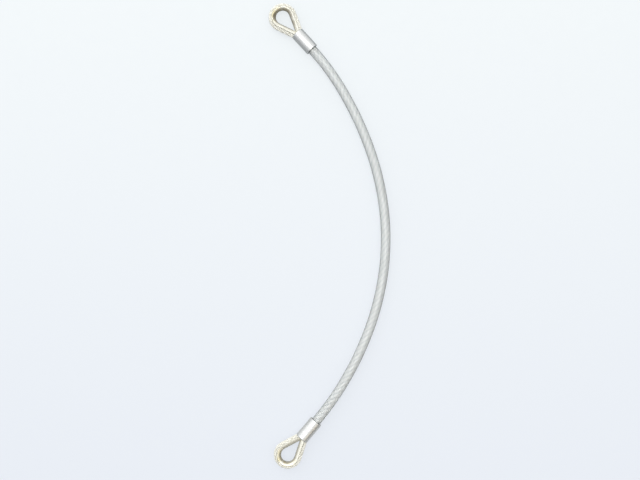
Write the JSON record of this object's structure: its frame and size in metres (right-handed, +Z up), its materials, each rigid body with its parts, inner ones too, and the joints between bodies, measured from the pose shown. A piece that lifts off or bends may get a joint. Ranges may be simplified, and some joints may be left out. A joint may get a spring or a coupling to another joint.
{
  "type": "wire rope sling with thimble eyes",
  "caption": "Short bowed sling of wire rope under a clear sheath, each end turned round a teardrop steel thimble and closed with a pressed ferrule.",
  "frame": {"origin": "middle of the object's box, on the surface that it lies on", "axes": "+Y runs from the lower eye to the upper eye along the chord of the bow, +X is the side that the bow bulges to, +Z is up from the surface"},
  "size_m": [0.1195, 0.4561, 0.013],
  "materials": {
    "galvanised_rope": "galvanised wires, satin",
    "clear_pvc": "clear, slightly green, glossy",
    "ferrule_aluminium": "pressed, smooth satin",
    "thimble_steel": "zinc plated, straw-yellow passivate"
  },
  "bodies": {
    "root": {"wire_rope": "galvanised_rope", "rope_sheath": "clear_pvc", "upper_ferrule": "ferrule_aluminium", "lower_ferrule": "ferrule_aluminium", "upper_thimble": "thimble_steel", "lower_thimble": "thimble_steel"}
  },
  "joints": []
}
